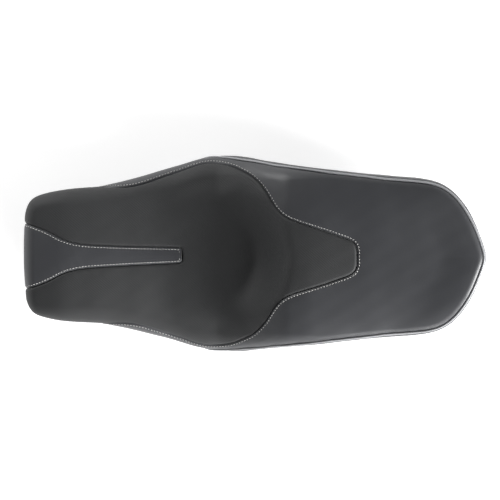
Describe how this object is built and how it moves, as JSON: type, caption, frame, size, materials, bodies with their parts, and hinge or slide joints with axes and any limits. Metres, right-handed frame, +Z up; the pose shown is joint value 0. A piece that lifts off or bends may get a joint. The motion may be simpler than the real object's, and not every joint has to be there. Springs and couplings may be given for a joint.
{
  "type": "motorcycle seat",
  "caption": "Two-up seat for a maxi scooter: dished rider area with a lumbar step, long nose with a tapered insert, passenger cushion, piped edge, front hinge and rear striker.",
  "frame": {"origin": "on the ground plane under the middle of the seat's length and width", "axes": "+X from the nose to the tail, +Y to the rider's right, +Z up"},
  "size_m": [0.8378, 0.3644, 0.1731],
  "materials": {
    "pan": "moulded polypropylene, fine texture",
    "foam": "moulded polyurethane foam",
    "smooth_vinyl": "smooth vinyl upholstery, satin",
    "grip_vinyl": "vinyl with a fine woven grip grain",
    "side_vinyl": "textured vinyl",
    "piping": "silver piping",
    "hem": "vinyl, turned edge",
    "staples": "galvanised wire",
    "bracket": "black powder coat",
    "zinc_steel": "zinc plated steel",
    "bush": "plain bronze",
    "bumper_rubber": "moulded rubber"
  },
  "bodies": {
    "frame_side": {"hinge_frame_bracket": "bracket", "hinge_bush_left": "bush", "hinge_bush_right": "bush"},
    "seat": {"base_pan": "pan", "bumper_front_left": "bumper_rubber", "bumper_front_right": "bumper_rubber", "bumper_middle_left": "bumper_rubber", "bumper_middle_right": "bumper_rubber", "bumper_rear_left": "bumper_rubber", "bumper_rear_right": "bumper_rubber", "cover_hem": "hem", "cover_nose_insert": "smooth_vinyl", "cover_passenger_panel": "smooth_vinyl", "cover_rider_panel": "grip_vinyl", "cover_skirt_left": "side_vinyl", "cover_skirt_right": "side_vinyl", "cover_staples": "staples", "foam_passenger": "foam", "foam_rider": "foam", "hinge_bolts": "zinc_steel", "hinge_clip": "zinc_steel", "hinge_pin": "zinc_steel", "hinge_seat_bracket": "bracket", "hinge_tee_nuts": "zinc_steel", "hinge_washer": "zinc_steel", "piping": "piping", "striker_loop": "zinc_steel", "striker_nuts": "zinc_steel", "striker_plate": "bracket"}
  },
  "joints": [
    {"name": "seat_hinge", "type": "hinge", "parent": "frame_side", "child": "seat", "pos_m": [-0.366, 0, 0.056], "axis": [0, -1, 0], "range_deg": [0, 65]}
  ]
}
